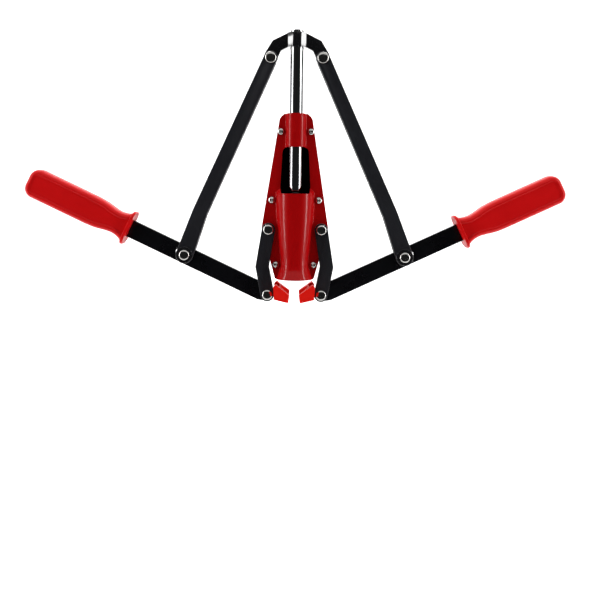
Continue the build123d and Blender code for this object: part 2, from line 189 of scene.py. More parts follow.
def scratch_group():
    """Thin scratches along one direction, from 0 to 1."""
    tree, given, result = new_group(
        "scratches",
        [("Vector", "NodeSocketVector", None), ("Amount", "NodeSocketFloat", 0.5)],
        [("Mask", "NodeSocketFloat")],
    )
    lines = noise(
        tree, given.outputs["Vector"], SCRATCH_SCALE,
        detail=2.0, roughness=0.6, stretch=SCRATCH_STRETCH,
    )
    areas = noise(tree, given.outputs["Vector"], SCRATCHED_SCALE, detail=2.0)
    thin = rising(tree, lines, SCRATCH_FROM, SCRATCH_GAIN)
    near = rising(tree, areas, SCRATCHED_FROM, SCRATCHED_GAIN)
    mask = math_node(tree, "MULTIPLY", thin, near)
    mask = math_node(tree, "MULTIPLY", mask, given.outputs["Amount"], clamp=True)
    tree.links.new(mask, result.inputs["Mask"])
    return tree


EDGE_WEAR = edge_wear_group()
SKIN = skin_group()
SCRATCHES = scratch_group()


def place_group(material, group, **values):
    """Places a shared group in a material, on Object coordinates, with its own values."""
    tree = material.node_tree
    node = tree.nodes.new("ShaderNodeGroup")
    node.node_tree = group
    coordinates = tree.nodes.get("Coordinates")
    tree.links.new(coordinates.outputs["Object"], node.inputs["Vector"])
    for name, value in values.items():
        node.inputs[name.replace("_", " ")].default_value = value
    return node


def mix_colour(tree, mask, first, second):
    """Blends two colours, or a colour socket and a colour, by a mask; returns the result."""
    node = tree.nodes.new("ShaderNodeMix")
    node.data_type = "RGBA"
    tree.links.new(mask, node.inputs["Factor"])
    for place, value in ((6, first), (7, second)):
        if isinstance(value, tuple):
            node.inputs[place].default_value = (*value, 1.0)
        else:
            tree.links.new(value, node.inputs[place])
    return node.outputs[2]


def finish_material(name, base, deep, worn, roughness, wear, metal=0.0, coat=0.0, **skin):
    """A coated or plated surface: tone variation, edge wear, scratches, grain and bump."""
    material = bpy.data.materials.new(name)
    material.use_nodes = True
    tree = material.node_tree
    shader = tree.nodes["Principled BSDF"]
    coordinates = tree.nodes.new("ShaderNodeTexCoord")
    coordinates.name = "Coordinates"
    surface = place_group(
        material,
        SKIN,
        Grain_Scale=skin.get("grain_scale", 900.0),
        Wave_Scale=skin.get("wave_scale", 60.0),
        Grain=skin.get("grain", 0.5),
    )
    edges = place_group(
        material,
        EDGE_WEAR,
        Width=skin.get("edge_width", 0.0006),
        Break_Up=skin.get("break_up", 220.0),
        Amount=wear,
    )
    lines = place_group(material, SCRATCHES, Amount=skin.get("scratches", 0.3))
    tone = mix_colour(tree, surface.outputs["Tone"], deep, base)
    colour = mix_colour(tree, edges.outputs["Mask"], tone, worn)
    tree.links.new(colour, shader.inputs["Base Color"])
    smudge = skin.get("smudge", 0.12)
    shift = math_node(tree, "MULTIPLY", surface.outputs["Roughness Shift"], smudge)
    rough = math_node(tree, "ADD", shift, roughness)
    dull = math_node(tree, "MULTIPLY", lines.outputs["Mask"], SCRATCH_DULLING)
    rough = math_node(tree, "ADD", rough, dull, clamp=True)
    tree.links.new(rough, shader.inputs["Roughness"])
    bump = tree.nodes.new("ShaderNodeBump")
    bump.inputs["Strength"].default_value = skin.get("bump", 0.08)
    bump.inputs["Distance"].default_value = skin.get("bump_depth", 0.0003)
    tree.links.new(surface.outputs["Height"], bump.inputs["Height"])
    tree.links.new(bump.outputs["Normal"], shader.inputs["Normal"])
    shader.inputs["Metallic"].default_value = metal
    shader.inputs["Coat Weight"].default_value = coat
    shader.inputs["Coat Roughness"].default_value = COAT_ROUGHNESS
    shader.inputs["Specular IOR Level"].default_value = skin.get("specular", 0.5)
    return material


SHELL_PAINT = finish_material(
    "shell_paint", (0.46, 0.003, 0.004), (0.38, 0.002, 0.003), (0.60, 0.02, 0.02),
    roughness=0.26, wear=0.25, coat=0.24, specular=0.05, wave_scale=90.0, grain=0.1, bump=0.05,
    scratches=0.15,
)


def paint_inside_shade(material, colour, roughness):
    """Paints the skin that a shell marks as its inside dull and nearly black, as painted shade inside
    the body.
    """
    tree = material.node_tree
    shader = tree.nodes["Principled BSDF"]
    mark = tree.nodes.new("ShaderNodeAttribute")
    mark.attribute_name = "inside"
    paint = shader.inputs["Base Color"].links[0].from_socket
    shade = mix_colour(tree, mark.outputs["Fac"], paint, colour)
    tree.links.new(shade, shader.inputs["Base Color"])
    gloss = shader.inputs["Roughness"].links[0].from_socket
    dull = math_node(tree, "MULTIPLY", mark.outputs["Fac"], roughness)
    tree.links.new(math_node(tree, "MAXIMUM", gloss, dull), shader.inputs["Roughness"])
    outside = math_node(tree, "SUBTRACT", 1.0, mark.outputs["Fac"])
    full_coat = shader.inputs["Coat Weight"].default_value
    coat = math_node(tree, "MULTIPLY", outside, full_coat, clamp=True)
    tree.links.new(coat, shader.inputs["Coat Weight"])


# Painted shade: the shells' inner skin is coloured nearly black instead of the red of the paint
paint_inside_shade(SHELL_PAINT, (0.008, 0.006, 0.006), 0.7)
RED_PLASTIC = finish_material(
    "red_plastic", (0.74, 0.007, 0.008), (0.60, 0.005, 0.006), (0.86, 0.04, 0.03),
    roughness=0.32, wear=0.3, coat=0.06, specular=0.1, grain=0.6, bump=0.10, scratches=0.3,
)
JAW_PLASTIC = finish_material(
    "jaw_plastic", (0.95, 0.014, 0.008), (0.80, 0.010, 0.006), (0.95, 0.06, 0.04),
    roughness=0.5, wear=0.3, coat=0.0, specular=0.06, grain=0.5, bump=0.08, scratches=0.3,
)
BLACK_SATIN = finish_material(
    "black_satin", (0.020, 0.020, 0.024), (0.009, 0.009, 0.012), (0.30, 0.29, 0.28),
    roughness=0.34, wear=0.35, coat=0.1, specular=0.4, grain=0.9, bump=0.16, scratches=0.6,
)
BLACK_LEVER = finish_material(
    "black_lever", (0.004, 0.004, 0.005), (0.002, 0.002, 0.003), (0.12, 0.115, 0.11),
    roughness=0.28, wear=0.25, coat=0.0, specular=0.2, grain=0.5, bump=0.06, scratches=0.4,
)
BLACK_GLOSS = finish_material(
    "black_gloss", (0.010, 0.010, 0.012), (0.006, 0.006, 0.007), (0.25, 0.25, 0.25),
    roughness=0.12, wear=0.2, coat=1.0, grain=0.1, bump=0.04, scratches=0.25,
)
CHROME = finish_material(
    "chrome", (0.50, 0.50, 0.51), (0.45, 0.45, 0.46), (0.66, 0.66, 0.66),
    roughness=0.05, wear=0.2, metal=1.0, grain=0.1, bump=0.012, scratches=0.5, smudge=0.05,
)
NICKEL = finish_material(
    "nickel", (0.54, 0.53, 0.51), (0.44, 0.43, 0.41), (0.72, 0.71, 0.69),
    roughness=0.12, wear=0.3, metal=1.0, grain=0.3, bump=0.03, scratches=0.4,
)
INNER_PLASTIC = finish_material(
    "inner_plastic", (0.012, 0.012, 0.013), (0.007, 0.007, 0.008), (0.05, 0.05, 0.05),
    roughness=0.48, wear=0.2, grain=0.8, bump=0.10,
)


# Making and finishing meshes


def add_object(name, mesh):
    """Links a mesh to the scene as a new object at the origin."""
    made = bpy.data.objects.new(name, mesh)
    bpy.context.scene.collection.objects.link(made)
    return made


def baked(piece):
    """Turns a piece's modifiers into its plain mesh."""
    graph = bpy.context.evaluated_depsgraph_get()
    mesh = bpy.data.meshes.new_from_object(piece.evaluated_get(graph))
    piece.modifiers.clear()
    piece.data = mesh
    return piece


def dress(piece, body, slot_name, material, *nodes):
    """Gives a finished piece its material and its body, and hides the nodes that it stands for."""
    piece.data.materials.clear()
    piece.data.materials.append(material)
    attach(piece, body)
    if nodes:
        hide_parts(*nodes)
    return piece


def rounded_edges(piece, width, segments=2, sharp_from=50):
    """Rounds a piece's sharp edges and shades it smooth."""
    rounding = piece.modifiers.new("rounding", "BEVEL")
    rounding.width = width
    rounding.segments = segments
    rounding.limit_method = "ANGLE"
    rounding.angle_limit = radians(sharp_from)
    rounding.harden_normals = True
    piece.data.shade_smooth()
    return baked(piece)


def finished_mesh(name, work):
    """Turns a working mesh's faces outwards and links it to the scene as an object."""
    bmesh.ops.recalc_face_normals(work, faces=work.faces)
    mesh = bpy.data.meshes.new(name)
    work.to_mesh(mesh)
    work.free()
    return add_object(name, mesh)


def softened(node, width, reshape=None):
    """A copy of a solid's mesh, reshaped if need be, with its edges rounded."""
    work = bmesh.new()
    work.from_mesh(frame["nodes"][node].data)
    bmesh.ops.remove_doubles(work, verts=work.verts, dist=1e-6)
    bmesh.ops.dissolve_limit(
        work,
        angle_limit=radians(0.5),
        verts=work.verts,
        edges=work.edges,
        delimit={"NORMAL"},
    )
    mesh = bpy.data.meshes.new(node + "_finished")
    work.to_mesh(mesh)
    work.free()
    piece = add_object(node + "_finished", mesh)
    if reshape:
        reshape(piece)
    return rounded_edges(piece, width, segments=3, sharp_from=25)


def soften_node(node, width, body, slot_name, material, reshape=None):
    """Puts a softened, dressed copy in a node's place."""
    return dress(softened(node, width, reshape), body, slot_name, material, node)


def corners(low, high, column):
    """The corners of the face between two rows of points, from a column to the next."""
    return (low[column], low[column + 1], high[column + 1], high[column])


# Shells, drawn as sections from the foot up


def smoothstep(low, high, value):
    """Eases from 0 at low to 1 at high."""
    share = min(1.0, max(0.0, (value - low) / (high - low)))
    return share * share * (3 - 2 * share)


def through(points, value):
    """A smooth curve through points of place and size, read at a place."""
    if value <= points[0][0]:
        return points[0][1]
    for number in range(len(points) - 1):
        low, high = points[number], points[number + 1]
        if value <= high[0]:
            break
    else:
        return points[-1][1]
    before = points[max(number - 1, 0)]
    after = points[min(number + 2, len(points) - 1)]
    span = high[0] - low[0]
    start = (high[1] - before[1]) / (high[0] - before[0]) * span
    end = (after[1] - low[1]) / (after[0] - low[0]) * span
    share = (value - low[0]) / span
    square, cube = share**2, share**3
    return (
        (2 * cube - 3 * square + 1) * low[1]
        + (cube - 2 * square + share) * start
        + (-2 * cube + 3 * square) * high[1]
        + (cube - square) * end
    )


# Millimetres, as in every section below. A channel's points are heights with its outer radius,
# and the flange's points are heights with its half width.
SHELL_HEIGHT = 173.0
SHELL_SHEET = 1.8
ROOT_FILLET = 1.5
WINDOW_FOOT_HALF = 14.6
WINDOW_WIDE_HALF = 15.8
WINDOW_TOP_HALF = 14.0
WINDOW_LOW = 89.4
WINDOW_SHOULDER = 95.8
WINDOW_HIGH = 138.1
WINDOW_ROUND = 6.0
GUIDE_RADIUS = 10.7
FOOT_CHANNEL = [(0, 19.4), (2, 18.6), (5, 17.3), (10, 15.2), (15, 14.2), (21, 14.4), (28, 15.4)]
LOWER_CHANNEL = FOOT_CHANNEL + [(41, 17.0), (54, 18.3), (70, 19.3), (WINDOW_LOW, 20.0)]
REAR_POCKET = [(110, 19.3), (130, 18.6), (138, 17.9), (143.5, 14.3), (149, 11.1)]
REAR_CHANNEL = LOWER_CHANNEL + REAR_POCKET + [(154, GUIDE_RADIUS), (SHELL_HEIGHT, GUIDE_RADIUS)]
FLANGE_FOOT = [(0, 19.6), (1.0, 20.6)]
FLANGE_WAIST = [(52.5, 34.6), (54, 34.8), (55.5, 34.6)]
FLANGE_EDGE = FLANGE_FOOT + FLANGE_WAIST + [(167, 17.4), (169.8, 15.8), (SHELL_HEIGHT, 12.3)]
BELLY_TOP = LOWER_CHANNEL[-1][1]
EDGE_ROOM = 0.5
LEAST_FILLET = 0.25
FLAT_STEPS, BEND_STEPS, CROWN_STEPS = 8, 8, 40
SHEET_ROUND = 0.35
NARROWING_FROM = WINDOW_LOW - 0.5
NARROWING_TO = WINDOW_SHOULDER + 4
GUIDE_FROM = WINDOW_HIGH - 2
WINDOW_CUT = (-30.0, 1.0)


def flange_half(z):
    """Half width of the flange at a height, straight between its corners."""
    for low, high in zip(FLANGE_EDGE, FLANGE_EDGE[1:]):
        if z <= high[0]:
            share = (z - low[0]) / (high[0] - low[0])
            return low[1] + share * (high[1] - low[1])
    return FLANGE_EDGE[-1][1]


def front_channel(z):
    """Outer radius of the front channel; inside the window its size doesn't show."""
    if z < WINDOW_LOW:
        return through(LOWER_CHANNEL, z)
    if z < GUIDE_FROM:
        narrowing = smoothstep(NARROWING_FROM, NARROWING_TO, z)
        return BELLY_TOP + (GUIDE_RADIUS - BELLY_TOP) * narrowing
    return GUIDE_RADIUS


def section(z, radius, offset):
    """Points of one section from the right edge to the left, set in from the outside by offset."""
    edge = flange_half(z)
    reach = edge - EDGE_ROOM
    fillet = (reach**2 - radius**2 + SHELL_SHEET**2) / (2 * (radius - SHELL_SHEET))
    fillet = max(LEAST_FILLET, min(ROOT_FILLET, fillet))
    centre_x = sqrt((radius + fillet) ** 2 - (SHELL_SHEET + fillet) ** 2)
    centre_y = SHELL_SHEET + fillet
    turn = atan2(centre_x, centre_y)
    half = []
    for step in range(FLAT_STEPS):
        half.append((edge + (centre_x - edge) * step / FLAT_STEPS, SHELL_SHEET - offset))
    for step in range(BEND_STEPS):
        angle = turn * step / BEND_STEPS
        size = fillet + offset
        half.append((centre_x - size * sin(angle), centre_y - size * cos(angle)))
    for step in range(CROWN_STEPS // 2 + 1):
        angle = turn * (1 - 2 * step / CROWN_STEPS)
        size = radius - offset
        half.append((size * sin(angle), size * cos(angle)))
    return half + [(-x, y) for x, y in reversed(half[:-1])]


def shell_mesh(name, channel, facing, rows):
    """A pressed half shell as a closed mesh: outer skin, inner skin and the edge between."""
    work = bmesh.new()
    inside = work.verts.layers.float.new("inside")
    skins = []
    for offset in (0.0, SHELL_SHEET):
        grid = []
        for z in rows:
            line = section(z, channel(z), offset)
            grid.append([work.verts.new((x * mm, facing * y * mm, z * mm)) for x, y in line])
        skins.append(grid)
    outer, inner = skins
    # The inner skin is marked so that the shell paint can put painted shade on it
    for vert in (vert for line in inner for vert in line):
        vert[inside] = 1.0
    count = len(outer[0])
    for row in range(len(rows) - 1):
        for column in range(count - 1):
            for grid in skins:
                work.faces.new(corners(grid[row], grid[row + 1], column))
        for column in (0, count - 1):
            outer_edge = [outer[row][column], outer[row + 1][column]]
            inner_edge = [inner[row + 1][column], inner[row][column]]
            work.faces.new(outer_edge + inner_edge)
    for row in (0, len(rows) - 1):
        for column in range(count - 1):
            work.faces.new(corners(outer[row], inner[row], column))
    return finished_mesh(name, work)


def along_depth(x, z, y):
    """Places an outline of x, z points at a depth y, in millimetres."""
    return (x * mm, y * mm, z * mm)


def prism(name, outline, low, high, place=along_depth):
    """A closed prism between two levels from an outline, both put in the frame by place."""
    work = bmesh.new()
    rings = [[work.verts.new(place(*point, level)) for point in outline] for level in (low, high)]
    work.faces.new(rings[0])
    work.faces.new(list(reversed(rings[1])))
    low_ring, high_ring = rings
    for number in range(len(outline)):
        after = (number + 1) % len(outline)
        work.faces.new((low_ring[number], high_ring[number], high_ring[after], low_ring[after]))
    return finished_mesh(name, work)


def arc(centre, radius, start, end, steps=8):
    """Points of an arc, angles in degrees."""
    angles = [radians(start + (end - start) * step / steps) for step in range(steps + 1)]
    return [(centre[0] + radius * cos(angle), centre[1] + radius * sin(angle)) for angle in angles]


def cut(piece, tool, operation="DIFFERENCE"):
    """Subtracts a closed tool from a piece, or joins or intersects them, and removes the tool."""
    hole = piece.modifiers.new("hole", "BOOLEAN")
    hole.operation = operation
    hole.solver = "EXACT"
    hole.object = tool
    baked(piece)
    bpy.data.objects.remove(tool)


def spaced(start, step, count):
    """Evenly spaced heights."""
    return [start + step * number for number in range(count)]


# Heights of the sections, closer together where the form turns
FOOT_ROWS = [0, 0.6, 1.2, 2.5, 4] + spaced(5, 1.5, 31)
WIDEST_ROWS = [52.5, 53.2, 54, 54.8, 55.5]
BELLY_ROWS = spaced(57, 2, 16) + [88.5, WINDOW_LOW]
WINDOW_ROWS = spaced(90, 0.5, 24) + spaced(104, 3, 11)
TOP_ROWS = spaced(136, 1.0, 20) + [157, 160, 163, 165, 167, 168.4, 169.8, 171.4, SHELL_HEIGHT]
ROWS = sorted(set(FOOT_ROWS + WIDEST_ROWS + BELLY_ROWS + WINDOW_ROWS + TOP_ROWS))

window_right = [(WINDOW_FOOT_HALF, WINDOW_LOW), (WINDOW_WIDE_HALF, WINDOW_SHOULDER)]
corner_centre = (WINDOW_TOP_HALF - WINDOW_ROUND, WINDOW_HIGH - WINDOW_ROUND)
window_right += arc(corner_centre, WINDOW_ROUND, 0, 90)
window_outline = window_right + [(-x, z) for x, z in reversed(window_right)]
front_shell = shell_mesh("front_shell_finished", front_channel, -1, ROWS)
cut(front_shell, prism("window_tool", window_outline, *WINDOW_CUT))
rounded_edges(front_shell, SHEET_ROUND * mm)
dress(front_shell, "body", "shell_paint", SHELL_PAINT, "front_shell")
rear_shell = shell_mesh("rear_shell_finished", lambda z: through(REAR_CHANNEL, z), 1, ROWS)
rounded_edges(rear_shell, SHEET_ROUND * mm)
dress(rear_shell, "body", "shell_paint", SHELL_PAINT, "rear_shell")


# Grips, as rings set in from the outline, over the rim and down to a sunken panel. Points are
# distances along the lever from the collar, with half widths.

GRIP_START = 159.4
GRIP_END = 276.7
GRIP_CORNER = 10.5
GRIP_FLARE = [(0, 17.4), (3.2, 16.9), (4.6, 15.4), (7, 13.9), (11, 12.7), (16, 12.1)]
GRIP_EDGE = GRIP_FLARE + [(23, 12.9), (33, 14.8), (43.5, 15.6)]
GRIP_SWELL_END = 44
GRIP_STRAIGHT = range(52, 93, 10)
PANEL_START = 1.6
GRIP_ROUND = 0.5
COLLAR_HALF = 18.4
COLLAR_HALF_DEPTH = 13.0
COLLAR_SHEET = 3.2
COLLAR_CORNER = 9.0
COLLAR_ROUND = 0.9
COLLAR_EASE, COLLAR_EASE_DROP = 0.25, 0.3
COLLAR_FRONT_DROP, COLLAR_BACK_DROP = 2.2, 4.0

# Rings of the rim and of the sunken panel: how far in from the outline, and how far from the middle
LOWER_RIM = [(0.0, 0.0), (0.05, 4.0), (0.35, 6.2), (1.1, 8.0)]
RIM_RINGS = LOWER_RIM + [(2.2, 9.3), (3.2, 10.1), (4.0, 10.4), (4.6, 10.5)]
PANEL_RINGS = [(5.2, 10.45), (5.6, 10.1), (6.1, 9.8), (6.8, 9.7)]


def grip_outline():
    """Outline of the grip in the lever's plane: one side, round the tip, and back."""
    length = GRIP_END - GRIP_START
    half_width = GRIP_EDGE[-1][1]
    side = [(s, through(GRIP_EDGE, s)) for s in range(GRIP_SWELL_END)]
    side += [(s, half_width) for s in (*GRIP_STRAIGHT, length - GRIP_CORNER)]
    tip = arc((length - GRIP_CORNER, half_width - GRIP_CORNER), GRIP_CORNER, 90, 0, 10)
    half = side + tip[1:]
    return half + [(s, -v) for s, v in reversed(half)]


def inset(outline, distance, start):
    """An open outline moved inwards along its normals, and cut off straight at a start."""
    moved = []
    for number, (s, v) in enumerate(outline):
        before = outline[max(number - 1, 0)]
        after = outline[min(number + 1, len(outline) - 1)]
        run_s, run_v = after[0] - before[0], after[1] - before[1]
        size = hypot(run_s, run_v)
        moved.append((s + run_v / size * distance, v - run_s / size * distance))
    return [(max(s, start), v) for s, v in moved]


def lever_point(s, v, y, side):
    """A point in the frame from the lever's own plane, in millimetres from the inner pin."""
    place = inner_pin + along * (s * mm) + upward * (v * mm)
    return (side * place.x, y * mm, place.z)


def grip_mesh(name, side):
    """A moulded grip: a rim that curves up from the edge, round a sunken panel on each face."""
    work = bmesh.new()
    outline = grip_outline()
    half_profile = [(d, y, 0.0) for d, y in RIM_RINGS]
    half_profile += [(d, y, PANEL_START + d - PANEL_RINGS[0][0]) for d, y in PANEL_RINGS]
    profile = [(d, -y, start) for d, y, start in reversed(half_profile[1:])] + half_profile
    rings = []
    for distance, y, start in profile:
        points = inset(outline, distance, start)
        rings.append([work.verts.new(lever_point(GRIP_START + s, v, y, side)) for s, v in points])
    count = len(outline)
    panels = len(PANEL_RINGS)
    for number, (low, high) in enumerate(zip(rings, rings[1:])):
        for column in range(count - 1):
            work.faces.new(corners(low, high, column))
        if number < panels or number >= len(rings) - 1 - panels:
            work.faces.new((low[-1], low[0], high[0], high[-1]))
    for ring in (rings[0], rings[-1]):
        for number in range(count // 2 - 1):
            far = count - 1 - number
            work.faces.new((ring[number], ring[number + 1], ring[far - 1], ring[far]))
    rims = rings[panels:-panels]
    work.faces.new([ring[0] for ring in rims] + [ring[-1] for ring in reversed(rims)])
    add_collar(work, side)
    return finished_mesh(name, work)


def add_collar(work, side):
    """The collar at the grip's root, a rounded rectangle with rounded rims."""
    front_round = [(0.0, -COLLAR_ROUND), (COLLAR_EASE, -COLLAR_EASE_DROP), (COLLAR_ROUND, 0.0)]
    back_round = [(COLLAR_SHEET - s, shrink) for s, shrink in reversed(front_round)]
    profile = [(0.0, -COLLAR_FRONT_DROP), *front_round, *back_round, (COLLAR_SHEET, -COLLAR_BACK_DROP)]
    corner_v, corner_y = COLLAR_HALF - COLLAR_CORNER, COLLAR_HALF_DEPTH - COLLAR_CORNER
    rings = []
    for s, shrink in profile:
        ring = []
        for centre, start in (
            ((corner_v, corner_y), 0), ((-corner_v, corner_y), 90),
            ((-corner_v, -corner_y), 180), ((corner_v, -corner_y), 270),
        ):
            for v, y in arc(centre, COLLAR_CORNER + shrink, start, start + 90, 12):
                ring.append(work.verts.new(lever_point(GRIP_START + s, v, y, side)))
        rings.append(ring)
    for low, high in zip(rings, rings[1:]):
        for step in range(len(low)):
            after = (step + 1) % len(low)
            work.faces.new((low[step], low[after], high[after], high[step]))
    work.faces.new(rings[0])
    work.faces.new(rings[-1])


for side, name in SIDES:
    grip = grip_mesh(f"{name}_grip_finished", side)
    rounded_edges(grip, GRIP_ROUND * mm, segments=3, sharp_from=40)
    dress(grip, f"{name}_lever", "red_plastic", RED_PLASTIC, f"{name}_grip")


# Jaws, from a side profile of inward distance and rise, both from the inner pin, and a plan

JAW_PROFILE = [(2.0, 11.3), (3.1, 14.9), (20.2, 11.5), (22.8, 3.6), (7.9, 0.6)]
JAW_ROUND = 0.9
JAW_HALF_DEPTH = 20.5
JAW_BACK = 1.0
JAW_TIP = 23.2
JAW_CORNER = 4.0
JAW_POCKET = 7.8
JAW_POCKET_HALF = 10.4
NECK_RECESS = 15.5
NECK_RECESS_AT = 28.6
NECK_RELIEF = 15.1
NECK_SIDES = 64
PLAN_CUT = (-5, 20)
NECK_CUT = (-60, 20)
TONGUE_ROOM = [(0.0, 0.9), (0.0, 7.5), (10.5, 7.5), (10.5, 0.9)]
TONGUE_HALF = 2.85


def jaw_plan():
    """Outline of a jaw seen across the lever, with the neck's recess and the lever's pocket."""
    edge, corner = JAW_TIP - JAW_CORNER, JAW_HALF_DEPTH - JAW_CORNER
    past_tip = JAW_TIP - NECK_RECESS_AT
    turn = atan2(sqrt(NECK_RECESS**2 - past_tip**2), past_tip) / radians(1)
    outline = [(JAW_BACK, -JAW_HALF_DEPTH)]
    outline += arc((edge, -corner), JAW_CORNER, -90, 0)
    outline += arc((NECK_RECESS_AT, 0), NECK_RECESS, 360 - turn, turn, 24)
    outline += arc((edge, corner), JAW_CORNER, 0, 90)
    outline += [(JAW_BACK, JAW_HALF_DEPTH), (JAW_BACK, JAW_POCKET_HALF)]
    outline += [(JAW_POCKET, JAW_POCKET_HALF), (JAW_POCKET, -JAW_POCKET_HALF)]
    return outline + [(JAW_BACK, -JAW_POCKET_HALF)]


def jaw_mesh(name, side):
    """A moulded jaw, cut clear of the bottle mouth and of the lever's tongue."""

    def from_side(inward, rise, y):
        return lever_point(-inward, rise, y, side)

    def from_above(inward, y, rise):
        return lever_point(-inward, rise, y, side)

    def upright(x, y, z):
        return (x * mm, y * mm, z * mm)

    jaw = prism(name, JAW_PROFILE, -JAW_HALF_DEPTH, JAW_HALF_DEPTH, from_side)
    cut(jaw, prism("jaw_plan", jaw_plan(), *PLAN_CUT, from_above), "INTERSECT")
    neck = arc((0, 0), NECK_RELIEF, 0, 360 - 360 / NECK_SIDES, NECK_SIDES - 1)
    cut(jaw, prism("neck", neck, *NECK_CUT, upright))
    cut(jaw, prism("tongue", TONGUE_ROOM, -TONGUE_HALF, TONGUE_HALF, from_side))
    return jaw


for side, name in SIDES:
    jaw = jaw_mesh(f"{name}_jaw_finished", side)
    rounded_edges(jaw, JAW_ROUND * mm, segments=4, sharp_from=30)
    dress(jaw, f"{name}_lever", "red_plastic", JAW_PLASTIC, f"{name}_jaw")


# Links, levers, crosshead, nuts and washers: copies of the solids with rounded edges. The slot
# and the bulge are reshaped first.

LINK_ROUND = 0.45
LEVER_ROUND = 0.5
CROSSHEAD_ROUND = 0.7
WASHER_ROUND = 0.25
SLOT_AT = 96.0
SLOT_IN = 5.2
SLOT_OUT = 10.5
SLOT_HALF = 3.9
SLOT_FILL = [(80.0, -4.6), (80.0, 4.6), (114.0, 4.6), (114.0, -4.6)]
BULGE_RADIUS = 10.2
BULGE_FRONT_HALF = 4.3
BULGE_FACE = 9.6
BULGE_SLANT = 0.767
PLATE_FACE = 2.75
ON_BULGE = 0.15
ABOVE_PLATE = 0.2
SAME_PLACE = 0.01


def shorter_slot(lever, side, half_thickness):
    """Closes the lever's slot and opens it again no longer than the link's end hides."""

    def place(s, v, y):
        return lever_point(s, v, y, side)

    cut(lever, prism("slot_fill", SLOT_FILL, -half_thickness, half_thickness, place), "UNION")
    slot = arc((SLOT_AT + SLOT_OUT - SLOT_HALF, 0), SLOT_HALF, -90, 90, 16)
    slot += arc((SLOT_AT - SLOT_IN + SLOT_HALF, 0), SLOT_HALF, 90, 270, 16)
    cut(lever, prism("slot", slot, -2 * half_thickness, 2 * half_thickness, place))


def flat_sided(plate):
    """Gives the crosshead's round bulge a flat front and two slanted sides."""
    on_bulge = []
    for vert in plate.data.vertices:
        x, y = vert.co.x / mm, vert.co.y / mm
        if abs(hypot(x, y) - BULGE_RADIUS) < ON_BULGE and abs(y) > PLATE_FACE + ABOVE_PLATE:
            on_bulge.append(vert)
    places = [abs(vert.co.x / mm) for vert in on_bulge]
    corner = min(places, key=lambda x: abs(x - BULGE_FRONT_HALF))
    for vert in on_bulge:
        x = abs(vert.co.x / mm)
        if abs(x - corner) < SAME_PLACE:
            vert.co.x *= BULGE_FRONT_HALF / x
            x = BULGE_FRONT_HALF
        depth = BULGE_FACE - BULGE_SLANT * max(0.0, x - BULGE_FRONT_HALF)
        vert.co.y = depth * mm if vert.co.y > 0 else -depth * mm


for side, name in SIDES:
    for end in ("front", "rear"):
        for length in ("long", "short"):
            body = f"{name}_{length}_link"
            soften_node(f"{body}_{end}", LINK_ROUND * mm, body, "black_satin", BLACK_SATIN)
    half_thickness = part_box(f"{name}_lever_bar")[1][1] / mm
    soften_node(
        f"{name}_lever_bar", LEVER_ROUND * mm, f"{name}_lever", "black_satin", BLACK_LEVER,
        reshape=lambda piece: shorter_slot(piece, side, half_thickness),
    )
for end in ("front", "rear"):
    soften_node(
        f"crosshead_{end}", CROSSHEAD_ROUND * mm, "plunger", "black_gloss", BLACK_GLOSS,
        reshape=flat_sided,
    )


# Rivets and screws, repeated by Geometry Nodes at the places of their nodes

RIVET_HEAD_HEIGHT = 2.6
RIVET_SHANK = 3.0
LINK_RIVET_SHANK = 2.5
CROSSHEAD_HEAD = 6.1
SCREW_HEAD = 3.7
SCREW_HEAD_HEIGHT = 2.6
FLAT_TOPPED = 0.67
DOMED = 1.0
RECESS_SHARE = 0.28
RECESS_DEPTH = 1.3
SCREW_SHANK = 2.0
SCREW_PLACES = [(15.6, 154.2), (24.6, 82.4), (19.4, 14.7)]
HEAD_SEGMENTS, HEAD_RINGS = 48, 28
SHANK_SIDES = 32
NEAR_AXIS = 0.0001


